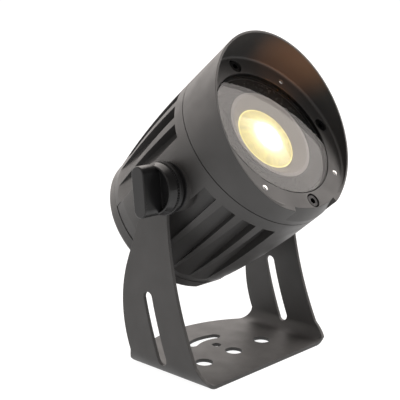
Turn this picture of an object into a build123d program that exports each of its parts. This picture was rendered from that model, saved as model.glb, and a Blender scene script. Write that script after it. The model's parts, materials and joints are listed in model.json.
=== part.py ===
from build123d import *
import math
import os

# LED spotlight: a finned barrel with an obliquely cut hood, tilting in a bent sheet yoke.
# Millimetres. The origin is the centre of the base's middle hole, at the underside.
# +X runs along the tilt axis, -Y is the side the beam leaves from, and +Z is up.

# Yoke sheet
SHEET = 2.5
YOKE_WIDTH = 140.0
BEND_R = 12.0
BASE_FRONT_Y = -34.3
BASE_BACK_R = 102.0
BASE_BACK_Y = 63.1
BEND_LINE_X = 64.5
HOLE_PITCH = 33.0
BASE_HOLE_R = 6.5
SMALL_HOLE_R = 3.5
SMALL_HOLE_Y = 17.0
ARC_SLOT_R = 33.0
ARC_SLOT_W = 8.5
ARC_SLOT_HALF_ANGLE = 23.0
ARM_SLOT_W = 8.2
ARM_SLOT_TOP = (21.1, 54.8)
ARM_SLOT_LOW = (6.4, 12.4)
ARM_SLOT_BOW = 0.8
LOBE_R = 15.0
STUD_HOLE_R = 4.08

# Tilt axis and head
PIVOT_Y = 5.8
PIVOT_Z = 135.3
TILT = 40.0
AXIS_RISE = 3.9
BODY_R = 65.0
TAPER_START = 23.0
TAPER_R = 558.0
BODY_REAR = -64.0
BODY_FRONT = 33.8
FRONT_CAVITY_R = 47.5
REAR_CAVITY_R = 46.0
WEB_REAR = -3.0
WEB_FRONT = 5.0

# Grooves between the fins
GROOVE_PITCH = 15.0
GROOVE_FRONT = 24.2
GROOVE_REAR = -61.0
GROOVE_W_FRONT = 11.0
GROOVE_W_REAR = 14.2
GROOVE_FLOOR_FRONT = 57.5
GROOVE_FLOOR_REAR = 59.0
PAD_HALF_ANGLE = 15.0
RELIEF_FRONT = -50.0
RELIEF_DEPTH = 0.6
RELIEF_TOP_Y = 17.0
FLAT_REAR_Y = 55.4

# Bezel ring and hood
BEZEL_REAR = 34.4
FACE = 50.5
HOOD_MID = 63.6
HOOD_SLOPE = 0.24
HOOD_INNER_R = 63.5
HOOD_BLEND_R = 2.0
GLASS_R = 49.3
GLASS_OPENING_R = 49.6
LEDGE_R = 47.0
LEDGE = 45.5
SCREW_CIRCLE_R = 56.0
NOTCH_HALF_ANGLE = 21.0
LENS_TOP = 44.2
LENS_R = 74.6

# Rear cap
CAP_REAR = -74.2
CAP_SCREW_R = 51.0

# Hand knob, measured outwards from the arm's outer face
KNOB_BASE = 1.0
KNOB_FACE = 12.0
KNOB_END = 24.5
KNOB_R = 18.5
KNOB_BAR_L = 34.6
KNOB_BAR_W = 11.0
KNOB_BAR_TURN = 7.0
STUD_R = 4.0

ARM_X = YOKE_WIDTH / 2
COS_T = math.cos(math.radians(TILT))
SIN_T = math.sin(math.radians(TILT))

# The head is drawn in its own frame: Z along the beam, Y towards the hood's long side.
HEAD = Plane(
    origin=(0, PIVOT_Y + AXIS_RISE * SIN_T, PIVOT_Z + AXIS_RISE * COS_T),
    x_dir=(1, 0, 0),
    z_dir=(0, -COS_T, SIN_T),
)

os.makedirs("parts", exist_ok=True)


def save(name, *solids):
    shape = solids[0] if len(solids) == 1 else Compound(children=list(solids))
    export_step(shape, f"parts/{name}.step")


def save_head(name, *solids):
    save(name, *[HEAD.location * solid for solid in solids])


def lathe(*points):
    """Solid of revolution about Z from (radius, height) points."""
    return revolve(Plane.XZ * make_face(Polyline(*points, close=True)), Axis.Z)


def rod(radius, low, high, x=0.0, y=0.0):
    """Cylinder along Z between two heights."""
    return Pos(x, y, low) * Cylinder(radius, high - low, align=(Align.CENTER, Align.CENTER, Align.MIN))


def ring(outer, inner, low, high):
    return lathe((inner, low), (outer, low), (outer, high), (inner, high))


def hexagon(flats, low, high):
    """Hexagonal prism along Z, given across the flats."""
    return Pos(0, 0, low) * extrude(RegularPolygon(flats / 2, 6, major_radius=False), high - low)


def polar(radius, degrees):
    """Point at an angle measured from +Y towards +X."""
    turn = math.radians(degrees)
    return radius * math.sin(turn), radius * math.cos(turn)


def block(low, high):
    size = [b - a for a, b in zip(low, high)]
    return Pos(*low) * Box(*size, align=(Align.MIN, Align.MIN, Align.MIN))


def x_rod(radius, low, high):
    """Cylinder along X, on the tilt axis, in the row's frame."""
    return Pos(low, PIVOT_Y, PIVOT_Z) * Rot(0, 90, 0) * Cylinder(
        radius, high - low, align=(Align.CENTER, Align.CENTER, Align.MIN)
    )


def taper_radius(z):
    """Outer radius of the fins at a station behind the start of the taper."""
    return BODY_R - (TAPER_START - z) ** 2 / (2 * TAPER_R)


# ---------------------------------------------------------------- yoke


def yoke_channel():
    """The bent strip, before its outline is cut: a U seen from the front."""
    outer = Pos(0, 100) * Rectangle(YOKE_WIDTH, 200)
    inner = Pos(0, 100 + SHEET) * Rectangle(YOKE_WIDTH - 2 * SHEET, 200)
    outer = fillet(outer.vertices().sort_by(Axis.Y)[:2], BEND_R)
    inner = fillet(inner.vertices().sort_by(Axis.Y)[:2], BEND_R - SHEET)
    return extrude(Plane.XZ * (outer - inner), 120, both=True)


def arm_outline():
    """Side view of an arm, in (y, z)."""
    front_low = (-24.5, 15.0)
    front_mid = (-6.6, 60.0)
    front_top = (3.4, 112.0)
    back_top = (40.6, 81.0)
    back_mid = (46.4, 47.0)
    back_low = (38.2, 12.0)
    foot = (40.5, 5.0)
    lean = math.radians(20.4)
    side_y = PIVOT_Y + LOBE_R * math.cos(lean)
    side_z = PIVOT_Z + LOBE_R * math.sin(lean)
    neck = (3.6, PIVOT_Z - 10.0)
    edges = [
        Line((BASE_FRONT_Y, -1), (BASE_FRONT_Y, 5)),
        Line((BASE_FRONT_Y, 5), front_low),
        ThreePointArc(front_low, front_mid, front_top),
        Line(front_top, neck),
        Line(neck, (side_y, side_z)),
        Line((side_y, side_z), back_top),
        ThreePointArc(back_top, back_mid, back_low),
        ThreePointArc(back_low, (39.0, 8.0), foot),
        Line(foot, (foot[0], -1)),
        Line((foot[0], -1), (BASE_FRONT_Y, -1)),
    ]
    shape = make_face(edges) + Pos(PIVOT_Y, PIVOT_Z) * Circle(LOBE_R)
    corners = [v for v in shape.vertices() if abs(v.X - neck[0]) < 0.6 and front_top[1] + 1 < v.Y < neck[1]]
    return fillet(corners, 4.0)


def base_outline():
    """Plan view of the base, in (x, y), meeting the arm outline at the bend lines."""
    half = 54.0
    arc_y = BASE_BACK_Y - BASE_BACK_R + math.sqrt(BASE_BACK_R**2 - half**2)
    side_y = 40.5
    edges = [
        Line((-BEND_LINE_X, BASE_FRONT_Y), (BEND_LINE_X, BASE_FRONT_Y)),
        Line((BEND_LINE_X, BASE_FRONT_Y), (BEND_LINE_X, side_y)),
        Line((BEND_LINE_X, side_y), (half, arc_y)),
        ThreePointArc((half, arc_y), (0, BASE_BACK_Y), (-half, arc_y)),
        Line((-half, arc_y), (-BEND_LINE_X, side_y)),
        Line((-BEND_LINE_X, side_y), (-BEND_LINE_X, BASE_FRONT_Y)),
    ]
    return make_face(edges)


def yoke():
    side = Plane.YZ * arm_outline()
    arms = extrude(side, ARM_X + 5, both=True) - block((-BEND_LINE_X, -100, -5), (BEND_LINE_X, 120, 200))
    plate = extrude(Pos(0, 0, -1) * base_outline(), 7)
    solid = yoke_channel() & (arms + plate)
    for x in (-HOLE_PITCH, 0, HOLE_PITCH):
        solid -= rod(BASE_HOLE_R, -1, SHEET + 1, x)
    solid -= rod(SMALL_HOLE_R, -1, SHEET + 1, 0, SMALL_HOLE_Y)
    arc = CenterArc((0, 0), ARC_SLOT_R, 90 - ARC_SLOT_HALF_ANGLE, 2 * ARC_SLOT_HALF_ANGLE)
    solid -= extrude(Pos(0, 0, -1) * SlotArc(arc, ARC_SLOT_W), SHEET + 2)
    mid = [(a + b) / 2 for a, b in zip(ARM_SLOT_TOP, ARM_SLOT_LOW)]
    bow = ThreePointArc(ARM_SLOT_LOW, (mid[0] + ARM_SLOT_BOW, mid[1] - ARM_SLOT_BOW / 3), ARM_SLOT_TOP)
    solid -= extrude(Plane.YZ * SlotArc(bow, ARM_SLOT_W), ARM_X + 5, both=True)
    solid -= x_rod(STUD_HOLE_R, -ARM_X - 5, ARM_X + 5)
    return solid


save("yoke_bracket", yoke())

# ---------------------------------------------------------------- housing


def groove():
    """One groove about +X: its floor meets the taper and its sides spread towards the rear."""
    profile = Polyline(
        (GROOVE_FLOOR_FRONT, GROOVE_FRONT), (75, GROOVE_FRONT), (75, GROOVE_REAR), (GROOVE_FLOOR_REAR, GROOVE_REAR),
        close=True,
    )
    plan = Polyline(
        (-GROOVE_W_FRONT / 2, GROOVE_FRONT), (GROOVE_W_FRONT / 2, GROOVE_FRONT),
        (GROOVE_W_REAR / 2, GROOVE_REAR), (-GROOVE_W_REAR / 2, GROOVE_REAR),
        close=True,
    )
    return extrude(Plane.XZ * make_face(profile), 10, both=True) & extrude(Plane.YZ * make_face(plan), 80)


def relief():
    """Shallow step in front of the rear cap's rim, round the lower part of the barrel."""
    band = lathe(
        (taper_radius(BODY_REAR) - RELIEF_DEPTH, BODY_REAR - 1), (75, BODY_REAR - 1), (75, RELIEF_FRONT),
        (taper_radius(RELIEF_FRONT) + 0.2, RELIEF_FRONT),
    )
    return band - block((-80, RELIEF_TOP_Y, -80), (80, 80, 0))


def lower_flat():
    """Flat across the underside at the rear end: it runs out on the taper where the relief starts."""
    profile = Polyline(
        (-80, CAP_REAR - 1), (-FLAT_REAR_Y, CAP_REAR - 1), (-taper_radius(RELIEF_FRONT) - 0.3, RELIEF_FRONT),
        (-80, RELIEF_FRONT),
        close=True,
    )
    return extrude(Plane.YZ * make_face(profile), 25, both=True)


def housing():
    taper_mid = (taper_radius(-20), -20)
    edges = [
        Line((0, BODY_REAR), (taper_radius(BODY_REAR), BODY_REAR)),
        ThreePointArc((taper_radius(BODY_REAR), BODY_REAR), taper_mid, (BODY_R, TAPER_START)),
        Line((BODY_R, TAPER_START), (BODY_R, BODY_FRONT)),
        Line((BODY_R, BODY_FRONT), (62.5, BODY_FRONT)),
        Line((62.5, BODY_FRONT), (62.5, BEZEL_REAR)),
        Line((62.5, BEZEL_REAR), (0, BEZEL_REAR)),
        Line((0, BEZEL_REAR), (0, BODY_REAR)),
    ]
    solid = revolve(Plane.XZ * make_face(edges), Axis.Z)
    for k in range(24):
        centre = GROOVE_PITCH * (k + 0.5)
        if min(centre % 90, 90 - centre % 90) < PAD_HALF_ANGLE:
            continue
        solid -= Rot(0, 0, centre) * groove()
    solid -= relief()
    solid -= lower_flat()
    solid -= rod(FRONT_CAVITY_R, WEB_FRONT, BEZEL_REAR + 1)
    solid -= rod(REAR_CAVITY_R, BODY_REAR - 1, WEB_REAR)
    solid -= ring(51.2, 48.6, BEZEL_REAR - 2.0, BEZEL_REAR + 1)
    for side in (-1, 1):
        boss = Pos(side * 57, -AXIS_RISE, 0) * Rot(0, side * 90, 0) * Cylinder(
            17.5, 9.2, align=(Align.CENTER, Align.CENTER, Align.MIN)
        )
        inner = Pos(side * 45, -AXIS_RISE, 0) * Rot(0, side * 90, 0) * Cylinder(
            11, 12.5, align=(Align.CENTER, Align.CENTER, Align.MIN)
        )
        bush = Pos(side * 51, -AXIS_RISE, 0) * Rot(0, side * 90, 0) * Cylinder(
            7, 20, align=(Align.CENTER, Align.CENTER, Align.MIN)
        )
        solid = solid + boss + inner - bush
    for k in range(4):
        x, y = polar(SCREW_CIRCLE_R, 90 * k)
        solid -= rod(2.5, 24.0, BEZEL_REAR + 1, x, y)
        x, y = polar(CAP_SCREW_R, 45 + 90 * k)
        solid -= rod(2.0, BODY_REAR - 1, BODY_REAR + 10, x, y)
    for k in range(3):
        x, y = polar(40, 120 * k)
        solid -= rod(2.2, WEB_REAR - 1, WEB_FRONT + 1, x, y)
    for side in (-1, 1):
        solid -= rod(1.5, WEB_REAR - 1, WEB_REAR + 6, 35.5 * side, 0)
        solid -= rod(1.25, 0, WEB_FRONT + 1, *polar(17, 45 + 90 * (1 - side)))
    solid -= rod(4.0, WEB_REAR - 1, WEB_FRONT + 1, 0, -36)
    return solid


save_head("housing", housing())

bushes = []
for side in (-1, 1):
    bush = Pos(side * 51, -AXIS_RISE, 0) * Rot(0, side * 90, 0) * Cylinder(
        7, 15.2, align=(Align.CENTER, Align.CENTER, Align.MIN)
    )
    bore = Pos(side * 53, -AXIS_RISE, 0) * Rot(0, side * 90, 0) * Cylinder(
        4.06, 20, align=(Align.CENTER, Align.CENTER, Align.MIN)
    )
    bushes.append(bush - bore)
save_head("trunnion_bushes", *bushes)

washers = []
for side in (-1, 1):
    low, high = sorted((side * 66.2, side * 67.2))
    washers.append(x_rod(17.5, low, high) - x_rod(4.3, low - 1, high + 1))
save("friction_washers", *washers)

# ---------------------------------------------------------------- bezel and hood


def bezel():
    section = make_face(
        Polyline(
            (LEDGE_R, BEZEL_REAR), (BODY_R, BEZEL_REAR), (BODY_R, 95), (HOOD_INNER_R, 95),
            (HOOD_INNER_R, FACE), (GLASS_OPENING_R, FACE), (GLASS_OPENING_R, LEDGE), (LEDGE_R, LEDGE),
            close=True,
        )
    )
    corner = section.vertices().sort_by_distance((HOOD_INNER_R, FACE, 0))[0]
    body = revolve(Plane.XZ * fillet(corner, HOOD_BLEND_R), Axis.Z)
    slant = make_face(
        Polyline(
            (-90, FACE), (-90, 140), (90, 140), (90, HOOD_MID + 90 * HOOD_SLOPE),
            ((FACE - HOOD_MID) / HOOD_SLOPE, FACE),
            close=True,
        )
    )
    body -= extrude(Plane.YZ * slant, 90, both=True)
    wedge = lathe((61.5, FACE + 1), (61.5, FACE), (BODY_R, 39.0), (80, 39.0), (80, FACE + 1))
    x, y = polar(120, 180 - NOTCH_HALF_ANGLE)
    sector = extrude(Pos(0, 0, 30) * make_face(Polyline((0, 0), (x, y), (-x, y), close=True)), 40)
    body -= wedge & sector
    for k in range(4):
        x, y = polar(SCREW_CIRCLE_R, 90 * k)
        body -= rod(5.3, FACE - 5.5, FACE + 1, x, y)
        body -= rod(2.75, BEZEL_REAR - 1, FACE, x, y)
        x, y = polar(SCREW_CIRCLE_R, 45 + 90 * k)
        body -= rod(2.1, FACE - 6, FACE + 1, x, y)
    return body


save_head("bezel_hood", bezel())

screws = []
studs = []
for k in range(4):
    x, y = polar(SCREW_CIRCLE_R, 90 * k)
    head = rod(4.25, FACE - 5.5, FACE - 0.5, x, y) + rod(2.5, 24.5, FACE - 5.5, x, y)
    screws.append(head - Pos(x, y, 0) * hexagon(4.0, FACE - 3.2, FACE))
    x, y = polar(SCREW_CIRCLE_R, 45 + 90 * k)
    dome = Pos(x, y, FACE - 2.6) * Sphere(3.4) & rod(2.1, FACE - 6, FACE + 2, x, y)
    studs.append(rod(2.1, FACE - 6, FACE - 0.2, x, y) + dome)
save_head("bezel_screws", *screws)
save_head("bezel_studs", *studs)
save_head("bezel_seal", ring(51.2, 48.6, BEZEL_REAR - 2.0, BEZEL_REAR))
save_head("glass_gasket", ring(GLASS_R, 47.3, LEDGE, LEDGE + 0.8))
glass_low = LEDGE + 0.8
save_head(
    "front_glass",
    lathe((0, glass_low), (GLASS_R, glass_low), (GLASS_R, 49.9), (GLASS_R - 0.4, 50.3), (0, 50.3)),
)

# ---------------------------------------------------------------- optics

posts = ring(46.7, 33.4, 43.2, 45.2)
for k in range(3):
    x, y = polar(40, 120 * k)
    posts = posts + rod(3.5, WEB_FRONT, 43.2, x, y) - rod(1.5, WEB_FRONT - 1, WEB_FRONT + 12, x, y)
save_head("masking_plate", posts)
carrier_screws = []
for k in range(3):
    x, y = polar(40, 120 * k)
    carrier_screws.append(rod(1.5, WEB_REAR, WEB_FRONT + 10, x, y) + rod(2.9, WEB_REAR - 2.4, WEB_REAR, x, y))
save_head("carrier_screws", *carrier_screws)
save_head(
    "lens_trim",
    lathe(
        (34.6, 45.2), (34.6, 46.0), (32.0, 46.0), (24.2, 40.6), (24.2, 38.0), (26.0, 36.2), (26.0, 37.0),
        (25.0, 38.0), (25.0, 39.9), (32.4, 45.2),
    ),
)
save_head("lens", rod(24.1, 37.0, 50.0) & Pos(0, 0, LENS_TOP - LENS_R) * Sphere(LENS_R))
save_head(
    "reflector",
    lathe(
        (8.0, 9.0), (9.2, 9.0), (15.0, 19.0), (20.5, 29.0), (23.8, 36.0), (26.0, 36.0), (26.0, 36.2),
        (24.1, 37.0), (22.8, 37.0), (19.7, 29.6), (14.0, 19.4),
    ),
)
save_head("thermal_pad", block((-10, -10, WEB_FRONT), (10, 10, WEB_FRONT + 0.6)))
cob = block((-9.5, -9.5, WEB_FRONT + 0.6), (9.5, 9.5, WEB_FRONT + 2.0)) + rod(7.0, WEB_FRONT + 2.0, WEB_FRONT + 2.6)
save_head("led_cob", cob)
holder = rod(21, WEB_FRONT + 2.0, WEB_FRONT + 4.0)
holder = holder + ring(21, 15.2, WEB_FRONT, WEB_FRONT + 2.0) - rod(7.4, WEB_FRONT, WEB_FRONT + 6)
holder_screws = []
for side in (-1, 1):
    x, y = polar(17, 45 + 90 * (1 - side))
    holder = holder - rod(1.4, WEB_FRONT - 1, WEB_FRONT + 6, x, y)
    holder_screws.append(rod(1.25, 1.0, WEB_FRONT + 4.0, x, y) + rod(2.4, WEB_FRONT + 4.0, WEB_FRONT + 6.0, x, y))
save_head("led_holder", holder)
save_head("led_holder_screws", *holder_screws)

# ---------------------------------------------------------------- rear compartment

driver = block((-30, -18, -27), (30, 18, WEB_REAR))
driver = fillet(driver.edges().filter_by(Axis.Z), 4)
lugs = block((-39, -5, -5), (39, 5, WEB_REAR))
driver = driver + lugs
driver_screws = []
for side in (-1, 1):
    driver = driver - rod(1.6, -6, WEB_REAR + 1, 35.5 * side, 0)
    driver_screws.append(rod(1.45, -5, 2.5, 35.5 * side, 0) + rod(2.8, -7, -5, 35.5 * side, 0))
save_head("driver", driver)
save_head("driver_screws", *driver_screws)
terminal = block((-14, -6, -38), (14, 6, -27))
for x in (-8.4, 0, 8.4):
    terminal = terminal - rod(1.9, -39, -33, x, -1.5)
save_head("terminal_block", terminal)
leads = []
for x in (-1.4, 1.4):
    path = FilletPolyline((-18, -15), (-36, -15), (-36, 10.4), (-21.5, 10.4), radius=4)
    start = Plane(origin=(x, -18, -15), x_dir=(1, 0, 0), z_dir=(0, -1, 0))
    leads.append(sweep(start * Circle(0.9), path=Pos(x, 0, 0) * (Plane.YZ * path)))
save_head("led_leads", *leads)


def cap():
    cap_r = taper_radius(BODY_REAR)
    body = lathe(
        (0, CAP_REAR + 1.2), (44, CAP_REAR + 1.2), (45.5, CAP_REAR), (54.4, CAP_REAR), (56.8, CAP_REAR + 0.8),
        (57.8, CAP_REAR + 2.6), (cap_r, BODY_REAR), (44.8, BODY_REAR), (44.8, BODY_REAR + 4),
        (43.0, BODY_REAR + 4), (43.0, -69.2), (0, -69.2),
    )
    body -= ring(48.6, 44.8, BODY_REAR - 1.0, BODY_REAR + 0.2)
    body -= lower_flat()
    for k in range(4):
        x, y = polar(CAP_SCREW_R, 45 + 90 * k)
        body -= rod(2.2, CAP_REAR - 1, BODY_REAR + 1, x, y)
        body -= rod(3.8, CAP_REAR - 1, CAP_REAR + 4.2, x, y)
    body -= rod(8.0, CAP_REAR - 1, -60)
    body -= rod(4.0, CAP_REAR - 1, -60, 0, 30)
    return body


save_head("rear_cap", cap())
save_head("rear_cap_seal", ring(48.6, 44.8, BODY_REAR - 1.0, BODY_REAR))
cap_screws = []
for k in range(4):
    x, y = polar(CAP_SCREW_R, 45 + 90 * k)
    screw = rod(2.0, CAP_REAR + 4.2, BODY_REAR + 9, x, y) + rod(3.5, CAP_REAR + 0.2, CAP_REAR + 4.2, x, y)
    cap_screws.append(screw - Pos(x, y, 0) * hexagon(3.0, CAP_REAR - 1, CAP_REAR + 2.4))
save_head("rear_cap_screws", *cap_screws)

gland_flange = CAP_REAR + 1.2
gland = hexagon(20, gland_flange - 4.5, gland_flange) + rod(8.0, gland_flange, -62)
gland = gland + rod(7.6, gland_flange - 9.5, gland_flange - 4.5)
gland = gland - rod(5.0, -90, -60)
save_head("gland_body", gland)
nut = lathe(
    (7.7, gland_flange - 4.8), (7.7, gland_flange - 9.5), (6.6, gland_flange - 9.5), (4.2, gland_flange - 17),
    (7.0, gland_flange - 18.5), (10.0, gland_flange - 15.0), (10.0, gland_flange - 4.8),
)
nut = nut & hexagon(19, gland_flange - 20, gland_flange - 4.8)
save_head("gland_nut", nut)
seal = lathe(
    (3.4, gland_flange - 14.5), (4.9, gland_flange - 14.5), (6.4, gland_flange - 9.9), (6.4, gland_flange - 9.5),
    (4.9, gland_flange - 9.5), (4.9, gland_flange - 3.0), (3.4, gland_flange - 3.0),
)
save_head("gland_seal", seal)
save_head("gland_locknut", hexagon(21, -69.2, -65.2) - rod(8.0, -70, -64))
vent_head = lathe(
    (0, gland_flange - 3.6), (5.6, gland_flange - 3.6), (7.0, gland_flange - 2.4),
    (7.0, gland_flange), (0, gland_flange),
)
save_head("vent_plug", rod(4.0, gland_flange, -66.5, 0, 30) + Pos(0, 30, 0) * vent_head)

# ---------------------------------------------------------------- hand knobs


def knob_hex():
    """The stud's hexagon, moulded into the grip."""
    return hexagon(13, KNOB_BASE + 1, KNOB_BASE + 6.5)


def knob_grip():
    """Knob drawn with its axis on Z, growing away from the arm."""
    body = lathe(
        (0, KNOB_BASE), (KNOB_R, KNOB_BASE), (KNOB_R, 3.4), (17.3, 3.9), (17.2, 5.4), (17.8, 5.8),
        (16.6, KNOB_FACE - 0.6), (16.0, KNOB_FACE), (15.3, KNOB_FACE), (14.6, KNOB_FACE - 3.0), (0, KNOB_FACE - 3.0),
    )
    teeth = [polar(18.0 if k % 2 else 17.0, 3 * k) for k in range(120)]
    body += Pos(0, 0, 4.2) * extrude(make_face(Polyline(*teeth, close=True)), 1.0)
    foot = KNOB_FACE - 4.0
    bar = Pos(0, 0, foot) * extrude(Rot(0, 0, 90) * SlotOverall(KNOB_BAR_L, KNOB_BAR_W), KNOB_END - foot)
    bar = fillet(bar.faces().sort_by(Axis.Z)[-1].edges(), 0.8)
    body += bar
    return body - rod(STUD_R, 0, 16) - knob_hex()


def knob_stud():
    return rod(STUD_R, -14.5, 16) + knob_hex()


for name, side in (("left", -1), ("right", 1)):
    place = Plane(
        origin=(side * ARM_X, PIVOT_Y, PIVOT_Z),
        x_dir=(0, side * math.cos(math.radians(KNOB_BAR_TURN)), -side * math.sin(math.radians(KNOB_BAR_TURN))),
        z_dir=(side, 0, 0),
    )
    save(f"{name}_knob_grip", place.location * knob_grip())
    save(f"{name}_knob_stud", place.location * knob_stud())
    save(f"{name}_knob_washer", place.location * (rod(9.0, 0.05, KNOB_BASE) - rod(4.2, -1, KNOB_BASE + 1)))
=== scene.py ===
import json
import math

import bpy
from mathutils import Matrix, Vector


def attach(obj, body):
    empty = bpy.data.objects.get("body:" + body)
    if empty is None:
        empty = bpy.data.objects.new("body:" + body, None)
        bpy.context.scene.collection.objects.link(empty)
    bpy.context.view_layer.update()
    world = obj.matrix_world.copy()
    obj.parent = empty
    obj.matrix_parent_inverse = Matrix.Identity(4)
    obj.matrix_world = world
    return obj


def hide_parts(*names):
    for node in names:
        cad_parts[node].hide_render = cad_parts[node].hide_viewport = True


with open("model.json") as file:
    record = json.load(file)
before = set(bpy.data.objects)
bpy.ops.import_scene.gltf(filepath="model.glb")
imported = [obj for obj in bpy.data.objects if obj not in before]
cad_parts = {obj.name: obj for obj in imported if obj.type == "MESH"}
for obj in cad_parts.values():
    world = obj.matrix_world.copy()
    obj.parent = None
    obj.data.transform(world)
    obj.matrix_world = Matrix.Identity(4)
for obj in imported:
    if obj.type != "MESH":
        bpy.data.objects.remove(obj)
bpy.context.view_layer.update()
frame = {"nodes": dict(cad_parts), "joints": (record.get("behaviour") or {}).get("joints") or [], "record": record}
nodes = frame["nodes"]

# The head's own frame at rest: origin on the barrel axis above the pivot, Z along the beam.
TILT = math.radians(40.0)
AXIS_RISE = 0.0039
PIVOT = Vector(next(j for j in frame["joints"] if j["name"] == "head_tilt")["pos_m"])
HEAD_X = Vector((1, 0, 0))
HEAD_Y = Vector((0, math.sin(TILT), math.cos(TILT)))
HEAD_Z = Vector((0, -math.cos(TILT), math.sin(TILT)))
HEAD_O = PIVOT + AXIS_RISE * HEAD_Y


def head_point(x, y, z):
    """World place of a point given in the head's own frame."""
    return HEAD_O + x * HEAD_X + y * HEAD_Y + z * HEAD_Z


# ---------------------------------------------------------------- camera

CAMERA_AT = Vector((-0.5233, -0.4365, 0.2627))
YAW = math.radians(47.864)
PITCH = math.radians(12.072)
ROLL = math.radians(1.083)
LENS_MM = 86.66
SENSOR_MM = 36.0


def make_camera():
    """Camera at the photo's viewing angle, with a slight roll."""
    forward = Vector((math.sin(YAW) * math.cos(PITCH), math.cos(YAW) * math.cos(PITCH), -math.sin(PITCH)))
    level = Vector((math.cos(YAW), -math.sin(YAW), 0))
    up = level.cross(forward)
    right_rolled = level * math.cos(ROLL) + up * math.sin(ROLL)
    up_rolled = up * math.cos(ROLL) - level * math.sin(ROLL)
    data = bpy.data.cameras.new("camera")
    data.lens = LENS_MM
    data.sensor_width = SENSOR_MM
    data.clip_start = 0.01
    data.clip_end = 50.0
    camera = bpy.data.objects.new("camera", data)
    bpy.context.scene.collection.objects.link(camera)
    turn = Matrix((right_rolled, up_rolled, -forward)).transposed()
    camera.matrix_world = Matrix.Translation(CAMERA_AT) @ turn.to_4x4()
    bpy.context.scene.camera = camera


make_camera()

# ---------------------------------------------------------------- materials


class Shader:
    """A Principled material and short ways to add nodes to it."""

    def __init__(self, name, colour, roughness, metallic=0.0, specular=0.5, ior=1.5):
        self.material = bpy.data.materials.new(name)
        self.material.use_nodes = True
        self.tree = self.material.node_tree
        self.bsdf = self.tree.nodes["Principled BSDF"]
        self.set("Base Color", (*colour, 1))
        self.set("Roughness", roughness)
        self.set("Metallic", metallic)
        self.set("Specular IOR Level", specular)
        self.set("IOR", ior)
        self.place = self.node("ShaderNodeTexCoord").outputs["Object"]

    def set(self, socket, value):
        self.bsdf.inputs[socket].default_value = value

    def node(self, kind, **fields):
        made = self.tree.nodes.new(kind)
        for key, value in fields.items():
            setattr(made, key, value)
        return made

    def link(self, source, target):
        self.tree.links.new(source, target)

    def to(self, socket, source):
        self.link(source, self.bsdf.inputs[socket])

    def noise(self, scale, detail=2.0, rough=0.5, place=None):
        made = self.node("ShaderNodeTexNoise")
        made.inputs["Scale"].default_value = scale
        made.inputs["Detail"].default_value = detail
        made.inputs["Roughness"].default_value = rough
        self.link(place or self.place, made.inputs["Vector"])
        return made.outputs["Fac"]

    def math(self, operation, a, b=0.0):
        made = self.node("ShaderNodeMath", operation=operation)
        for socket, value in zip(made.inputs, (a, b)):
            if isinstance(value, (int, float)):
                socket.default_value = value
            else:
                self.link(value, socket)
        return made.outputs[0]

    def spread(self, source, from_low, from_high, to_low, to_high):
        """Map one range of a value onto another, held at both ends."""
        made = self.node("ShaderNodeMapRange")
        made.inputs["From Min"].default_value = from_low
        made.inputs["From Max"].default_value = from_high
        made.inputs["To Min"].default_value = to_low
        made.inputs["To Max"].default_value = to_high
        self.link(source, made.inputs["Value"])
        return made.outputs["Result"]

    def mix(self, factor, low, high):
        made = self.node("ShaderNodeMix", data_type="RGBA")
        self.link(factor, made.inputs["Factor"])
        for name, value in (("A", low), ("B", high)):
            socket = next(s for s in made.inputs if s.name == name and s.type == "RGBA")
            if isinstance(value, tuple):
                socket.default_value = (*value, 1)
            else:
                self.link(value, socket)
        return next(s for s in made.outputs if s.type == "RGBA")

    def ramp(self, factor, *stops):
        made = self.node("ShaderNodeValToRGB")
        elements = made.color_ramp.elements
        while len(elements) > 1:
            elements.remove(elements[-1])
        elements[0].position = stops[0][0]
        elements[0].color = (*stops[0][1], 1)
        for position, colour in stops[1:]:
            elements.new(position).color = (*colour, 1)
        self.link(factor, made.inputs["Fac"])
        return made.outputs["Color"]

    def soft_edges(self, radius):
        """Normals that round the edges, and a mask that is 1 on an edge."""
        bevel = self.node("ShaderNodeBevel", samples=4)
        bevel.inputs["Radius"].default_value = radius
        geometry = self.node("ShaderNodeNewGeometry")
        dot = self.node("ShaderNodeVectorMath", operation="DOT_PRODUCT")
        self.link(bevel.outputs["Normal"], dot.inputs[0])
        self.link(geometry.outputs["Normal"], dot.inputs[1])
        return bevel.outputs["Normal"], self.spread(dot.outputs["Value"], 0.995, 0.86, 0.0, 1.0)

    def bump(self, height, distance, strength=1.0, normal=None):
        made = self.node("ShaderNodeBump")
        made.inputs["Strength"].default_value = strength
        made.inputs["Distance"].default_value = distance
        self.link(height, made.inputs["Height"])
        if normal is not None:
            self.link(normal, made.inputs["Normal"])
        self.to("Normal", made.outputs["Normal"])


# Radius in metres over which the edges of each kind of piece look rounded.
PAINT_EDGE = 0.0005
PLASTIC_EDGE = 0.0004
METAL_EDGE = 0.0002

CHARCOAL = (0.034, 0.0328, 0.0318)
CHARCOAL_LIGHT = (0.041, 0.0395, 0.0384)
WORN_PAINT = (0.06, 0.058, 0.056)


def powder_coat(name, roughness, grain):
    """Satin paint with a fine orange peel, slight cloudiness and rubbed edges."""
    s = Shader(name, CHARCOAL, roughness)
    cloud = s.noise(28.0, 3.0)
    speck = s.noise(grain * 0.55, 2.0, 0.6)
    paint = s.mix(s.spread(cloud, 0.35, 0.65, 0.0, 1.0), CHARCOAL, CHARCOAL_LIGHT)
    paint = s.mix(s.spread(speck, 0.62, 0.75, 0.0, 0.3), paint, WORN_PAINT)
    normal, edges = s.soft_edges(PAINT_EDGE)
    rub = s.math("MULTIPLY", edges, s.spread(s.noise(240.0, 4.0), 0.45, 0.68, 0.0, 0.5))
    s.to("Base Color", s.mix(rub, paint, WORN_PAINT))
    s.to("Roughness", s.spread(s.noise(70.0, 3.0), 0.3, 0.7, roughness - 0.05, roughness + 0.06))
    s.bump(s.noise(grain, 2.0, 0.55), 0.00002, 1.0, normal)
    return s.material


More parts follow.
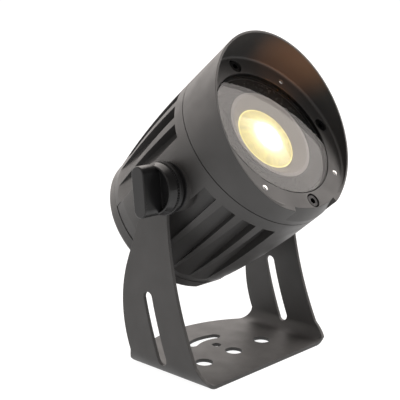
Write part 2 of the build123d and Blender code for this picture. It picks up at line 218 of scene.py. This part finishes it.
def moulded(name, dark, light, roughness):
    """Moulded plastic with a spark-eroded skin and shinier, handled edges."""
    s = Shader(name, dark, roughness, specular=0.42)
    s.to("Base Color", s.mix(s.spread(s.noise(60.0, 3.0), 0.35, 0.65, 0.0, 1.0), dark, light))
    normal, edges = s.soft_edges(PLASTIC_EDGE)
    texture = s.noise(2600.0, 2.0, 0.6)
    base = s.spread(s.noise(130.0, 3.0), 0.3, 0.7, roughness - 0.06, roughness + 0.06)
    s.to("Roughness", s.math("SUBTRACT", base, s.math("MULTIPLY", edges, 0.12)))
    s.bump(texture, 0.000012, 1.0, normal)
    return s.material


def metal(name, colour, roughness):
    """Turned or plated steel with faint scratches and fingerprints."""
    s = Shader(name, colour, roughness, metallic=1.0)
    shade = tuple(c * 0.8 for c in colour)
    s.to("Base Color", s.mix(s.spread(s.noise(500.0, 4.0, 0.6), 0.3, 0.7, 0.0, 1.0), colour, shade))
    s.to("Roughness", s.spread(s.noise(350.0, 4.0), 0.3, 0.7, roughness * 0.75, roughness * 1.3))
    normal, _ = s.soft_edges(METAL_EDGE)
    s.bump(s.noise(3000.0, 2.0), 0.000004, 1.0, normal)
    return s.material


def rubber(name, colour):
    """Matt rubber with a slight bloom."""
    s = Shader(name, colour, 0.75, specular=0.4)
    pale = tuple(c * 1.8 + 0.004 for c in colour)
    s.to("Base Color", s.mix(s.spread(s.noise(200.0, 4.0), 0.35, 0.7, 0.0, 0.7), colour, pale))
    s.to("Roughness", s.spread(s.noise(300.0), 0.3, 0.7, 0.65, 0.85))
    s.bump(s.noise(1800.0), 0.00001)
    return s.material


def head_place(s):
    """Distance from the barrel axis in metres, and angle round it, at each point."""
    turn = Matrix((HEAD_X, HEAD_Y, HEAD_Z)).to_4x4()
    shift = turn @ (-HEAD_O)
    mapping = s.node("ShaderNodeMapping")
    mapping.inputs["Location"].default_value = shift
    mapping.inputs["Rotation"].default_value = turn.to_euler()
    s.link(s.place, mapping.inputs["Vector"])
    split = s.node("ShaderNodeSeparateXYZ")
    s.link(mapping.outputs["Vector"], split.inputs["Vector"])
    x, y, _ = split.outputs
    radius = s.math("SQRT", s.math("ADD", s.math("MULTIPLY", x, x), s.math("MULTIPLY", y, y)))
    angle = s.math("ARCTAN2", y, x)
    return radius, angle


def clear_glass():
    """Toughened front glass with an anti-glare coating: smooth, with a little dust."""
    s = Shader("toughened_glass", (0.96, 0.96, 0.95), 0.0, ior=1.25)
    s.set("Transmission Weight", 1.0)
    dust = s.noise(900.0, 4.0, 0.7)
    s.to("Roughness", s.spread(dust, 0.6, 0.85, 0.0, 0.09))
    return s.material


def black_edge():
    """Matt black print round the edge of the glass."""
    s = Shader("printed_edge", (0.004, 0.004, 0.004), 0.8, specular=0.2)
    s.to("Roughness", s.spread(s.noise(400.0, 3.0), 0.3, 0.7, 0.7, 0.9))
    s.bump(s.noise(1500.0), 0.000005)
    return s.material


def mottled_plate():
    """Masking ring under the glass, pressed with a fine hammered pattern."""
    s = Shader("hammered_plate", (0.02, 0.0195, 0.019), 0.6, specular=0.15)
    cells = s.node("ShaderNodeTexVoronoi", feature="SMOOTH_F1")
    cells.inputs["Scale"].default_value = 420.0
    cells.inputs["Smoothness"].default_value = 0.6
    s.link(s.place, cells.inputs["Vector"])
    dimple = cells.outputs["Distance"]
    cloud = s.spread(s.noise(60.0, 2.0), 0.4, 0.6, 0.0, 1.0)
    tone = s.math("MULTIPLY", s.spread(dimple, 0.12, 0.42, 1.0, 0.0), cloud)
    s.to("Base Color", s.mix(tone, (0.012, 0.0114, 0.011), (0.1, 0.096, 0.092)))
    s.bump(dimple, 0.0002, 0.6)
    return s.material


def pale_trim():
    """Pale satin collar round the lens."""
    s = Shader("pale_trim", (0.29, 0.26, 0.245), 0.5)
    grain = s.noise(700.0, 3.0)
    blend = s.spread(grain, 0.3, 0.7, 0.0, 1.0)
    s.to("Base Color", s.mix(blend, (0.27, 0.242, 0.228), (0.31, 0.277, 0.262)))
    s.to("Roughness", s.spread(s.noise(300.0), 0.3, 0.7, 0.42, 0.58))
    s.bump(grain, 0.00001)
    return s.material


LENS_RIM_R = 0.0242


def lit_optic():
    """The lit collimator: a white core, a yellow surround with facet streaks, and a bright rim."""
    s = Shader("lit_collimator", (1.0, 0.96, 0.8), 0.05, ior=1.49)
    radius, angle = head_place(s)
    streak_place = s.node("ShaderNodeCombineXYZ")
    s.link(s.math("MULTIPLY", s.math("COSINE", angle), 5.0), streak_place.inputs["X"])
    s.link(s.math("MULTIPLY", s.math("SINE", angle), 5.0), streak_place.inputs["Y"])
    s.link(s.math("MULTIPLY", radius, 60.0), streak_place.inputs["Z"])
    streak = s.noise(1.0, 3.0, 0.6, streak_place.outputs["Vector"])
    wobble = s.math("MULTIPLY", s.math("SUBTRACT", streak, 0.5), 0.009)
    reach = s.math("ADD", radius, wobble)
    tint = s.ramp(
        s.spread(reach, 0.0, LENS_RIM_R, 0.0, 1.0),
        (0.0, (1.0, 1.0, 0.9)), (0.4, (1.0, 1.0, 0.8)), (0.56, (0.93, 0.85, 0.4)),
        (0.76, (0.72, 0.62, 0.24)), (1.0, (0.6, 0.5, 0.17)),
    )
    s.to("Emission Color", tint)
    lift = s.spread(streak, 0.35, 0.65, 0.8, 1.2)
    core = s.spread(radius, 0.009, 0.0145, 1.6, 0.9)
    rim = s.spread(radius, 0.0229, 0.0236, 0.0, 0.7)
    s.to("Emission Strength", s.math("ADD", s.math("MULTIPLY", lift, core), rim))
    s.set("Base Color", (0.25, 0.22, 0.1, 1))
    return s.material


def glow(name, colour, strength):
    """Lit phosphor, a little uneven."""
    s = Shader(name, colour, 0.3)
    cells = s.node("ShaderNodeTexVoronoi")
    cells.inputs["Scale"].default_value = 900.0
    s.link(s.place, cells.inputs["Vector"])
    s.set("Emission Color", (*colour, 1))
    s.to("Emission Strength", s.spread(cells.outputs["Distance"], 0.0, 0.6, strength, strength * 0.8))
    return s.material


materials = {
    "yoke_paint": powder_coat("yoke_powder_coat", 0.5, 1300.0),
    "body_paint": powder_coat("cast_powder_coat", 0.46, 1700.0),
    "black_screw": metal("blackened_steel", (0.035, 0.035, 0.036), 0.42),
    "polished_steel": metal("polished_stud", (0.93, 0.93, 0.92), 0.12),
    "steel": metal("zinc_plated_steel", (0.58, 0.58, 0.57), 0.3),
    "black_rubber": rubber("black_seal_rubber", (0.008, 0.008, 0.008)),
    "clear_glass": clear_glass(),
    "grey_plate": mottled_plate(),
    "pale_plate": pale_trim(),
    "lit_lens": lit_optic(),
    "mirror_metal": metal("evaporated_reflector", (0.9, 0.88, 0.8), 0.08),
    "white_pad": rubber("thermal_pad_silicone", (0.55, 0.55, 0.55)),
    "led": glow("phosphor", (1.0, 0.85, 0.45), 4.0),
    "white_plastic": moulded("white_nylon", (0.7, 0.7, 0.68), (0.78, 0.78, 0.76), 0.45),
    "grey_plastic": moulded("grey_polyamide", (0.22, 0.22, 0.21), (0.27, 0.27, 0.26), 0.5),
    "lead_red": rubber("red_lead_jacket", (0.35, 0.02, 0.015)),
    "black_plastic": moulded("black_nylon", (0.012, 0.012, 0.013), (0.018, 0.018, 0.019), 0.42),
    "knob_plastic": moulded("knob_nylon", (0.008, 0.008, 0.0084), (0.0105, 0.0105, 0.011), 0.32),
}

for part in frame["record"]["subparts"]:
    piece = nodes[part["node"]]
    piece.data.materials.clear()
    piece.data.materials.append(materials[part["material_slot"]])

# ---------------------------------------------------------------- glass pane


# The glass in the head's own frame, with a small chamfer at its back and front edges.
GLASS_BACK = 0.0463
GLASS_FRONT = 0.0503
GLASS_R = 0.0493
BACK_CHAMFER = 0.0003
FRONT_CHAMFER = 0.0004
GLASS_SEGMENTS = 160


def turned(name, profile, segments):
    """Mesh turned about the barrel axis from (radius, height) points, closed on the axis at both ends."""
    verts = [head_point(0, 0, profile[0][1])]
    rings = profile[1:-1]
    for radius, height in rings:
        for k in range(segments):
            turn = 2 * math.pi * k / segments
            verts.append(head_point(radius * math.cos(turn), radius * math.sin(turn), height))
    verts.append(head_point(0, 0, profile[-1][1]))
    last = len(verts) - 1
    faces = []
    for k in range(segments):
        n = (k + 1) % segments
        faces.append((0, 1 + n, 1 + k))
        for row in range(len(rings) - 1):
            a = 1 + row * segments
            b = a + segments
            faces.append((a + k, a + n, b + n, b + k))
        top = 1 + (len(rings) - 1) * segments
        faces.append((top + k, top + n, last))
    mesh = bpy.data.meshes.new(name)
    mesh.from_pydata(verts, [], faces)
    piece = bpy.data.objects.new(name, mesh)
    bpy.context.scene.collection.objects.link(piece)
    return piece


def make_pane():
    """The front glass with ground edges and a black printed rim, in the CAD glass's own box."""
    profile = [
        (0, GLASS_BACK),
        (GLASS_R - BACK_CHAMFER, GLASS_BACK),
        (GLASS_R, GLASS_BACK + BACK_CHAMFER),
        (GLASS_R, GLASS_FRONT - FRONT_CHAMFER),
        (GLASS_R - FRONT_CHAMFER, GLASS_FRONT),
        (0, GLASS_FRONT),
    ]
    pane = turned("glass_pane", profile, GLASS_SEGMENTS)
    pane.data.materials.append(materials["clear_glass"])
    pane.data.materials.append(black_edge())
    for face in pane.data.polygons:
        flat = abs(face.normal.dot(HEAD_Z)) > 0.99
        face.material_index = 0 if flat else 1
    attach(pane, "head")
    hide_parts("front_glass")


make_pane()

# ---------------------------------------------------------------- studio


FLOOR_HALF = 8.0
FLOOR_DROP = 0.0002
BACKDROP_HALF = 7.9
BACKDROP_FOOT = -0.1
STUDIO_TINT = (1.03, 0.965, 0.925, 1)


def make_floor():
    """A back-lit white table: pale, with a soft contact shadow."""
    corners = [(FLOOR_HALF * x, FLOOR_HALF * y, 0) for x, y in ((-1, -1), (1, -1), (1, 1), (-1, 1))]
    mesh = bpy.data.meshes.new("floor")
    mesh.from_pydata(corners, [], [(0, 1, 2, 3)])
    floor = bpy.data.objects.new("floor", mesh)
    floor.location.z = -FLOOR_DROP
    bpy.context.scene.collection.objects.link(floor)
    s = Shader("white_table", (0.2, 0.2, 0.2), 0.8, specular=0.05)
    s.set("Emission Color", (1, 1, 1, 1))
    s.set("Emission Strength", 0.95)
    floor.data.materials.append(s.material)


# Soft bright patches of the studio: heading from +Y towards +X, elevation, half width and strength.
SKY = [
    (47.9, 15, 50, 0.33),
    (92.9, 15, 50, 2.4),
    (182.9, 15, 50, 0.29),
    (317.9, 15, 50, 0.95),
    (2.9, 15, 50, 1.89),
    (47.9, 55, 45, 2.4),
    (227.9, 55, 45, 0.68),
    (113.8, 37.6, 25, 1.65),
]


def heading(azimuth, elevation):
    """Unit vector towards a bearing from +Y towards +X, raised by the elevation."""
    az = math.radians(azimuth)
    el = math.radians(elevation)
    return Vector((math.sin(az) * math.cos(el), math.cos(az) * math.cos(el), math.sin(el)))


def make_world():
    """Studio light as a sum of soft patches, each brightest at its middle."""
    world = bpy.data.worlds.new("studio")
    bpy.context.scene.world = world
    world.use_nodes = True
    tree = world.node_tree
    place = tree.nodes.new("ShaderNodeTexCoord").outputs["Generated"]
    total = None
    for azimuth, elevation, half_width, strength in SKY:
        dot = tree.nodes.new("ShaderNodeVectorMath")
        dot.operation = "DOT_PRODUCT"
        tree.links.new(place, dot.inputs[0])
        dot.inputs[1].default_value = heading(azimuth, elevation)
        lobe = tree.nodes.new("ShaderNodeMapRange")
        lobe.interpolation_type = "SMOOTHSTEP"
        lobe.inputs["From Min"].default_value = math.cos(math.radians(half_width))
        lobe.inputs["To Max"].default_value = strength
        tree.links.new(dot.outputs["Value"], lobe.inputs["Value"])
        if total is None:
            total = lobe.outputs["Result"]
            continue
        add = tree.nodes.new("ShaderNodeMath")
        add.operation = "ADD"
        tree.links.new(total, add.inputs[0])
        tree.links.new(lobe.outputs["Result"], add.inputs[1])
        total = add.outputs[0]
    background = tree.nodes["Background"]
    background.inputs["Color"].default_value = STUDIO_TINT
    tree.links.new(total, background.inputs["Strength"])


def make_backdrop():
    """White surround that only the camera sees; the light of the studio passes through it."""
    across = (-BACKDROP_HALF, BACKDROP_HALF)
    corners = [(x, y, z) for x in across for y in across for z in (BACKDROP_FOOT, BACKDROP_HALF)]
    sides = [(0, 1, 3, 2), (4, 6, 7, 5), (0, 4, 5, 1), (2, 3, 7, 6), (0, 2, 6, 4), (1, 5, 7, 3)]
    mesh = bpy.data.meshes.new("backdrop")
    mesh.from_pydata(corners, [], sides)
    backdrop = bpy.data.objects.new("backdrop", mesh)
    bpy.context.scene.collection.objects.link(backdrop)
    s = Shader("white_surround", (0, 0, 0), 1.0, specular=0.0)
    s.set("Emission Color", (1, 1, 1, 1))
    s.set("Emission Strength", 1.05)
    backdrop.data.materials.append(s.material)
    backdrop.visible_diffuse = False
    backdrop.visible_glossy = False
    backdrop.visible_transmission = False
    backdrop.visible_volume_scatter = False
    backdrop.visible_shadow = False


# The spill: its bearing round the barrel axis, and (radius, height) of the lamp and of the spot it aims at.
SPILL_BEARING = math.radians(48)
SPILL_LAMP = (0.025, 0.0585)
SPILL_AIM = (0.065, 0.066)
SPILL_WATTS = 0.05
SPILL_COLOUR = (1.0, 0.36, 0.08)
SPILL_CONE = math.radians(108)


def make_spill():
    """Light that the optic spills sideways onto the inside of the hood."""
    across = math.cos(SPILL_BEARING)
    upward = math.sin(SPILL_BEARING)
    lamp, target = (head_point(r * across, r * upward, height) for r, height in (SPILL_LAMP, SPILL_AIM))
    data = bpy.data.lights.new("beam_spill", "SPOT")
    data.energy = SPILL_WATTS
    data.color = SPILL_COLOUR
    data.spot_size = SPILL_CONE
    data.spot_blend = 1.0
    data.shadow_soft_size = 0.001
    light = bpy.data.objects.new("beam_spill", data)
    bpy.context.scene.collection.objects.link(light)
    light.location = lamp
    light.rotation_mode = "QUATERNION"
    light.rotation_quaternion = (lamp - target).to_track_quat("Z", "Y")
    light.visible_camera = False
    light.visible_transmission = False
    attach(light, "head")


make_world()
make_floor()
make_backdrop()
make_spill()

bpy.context.scene.view_settings.view_transform = "Standard"
bpy.context.scene.view_settings.look = "None"
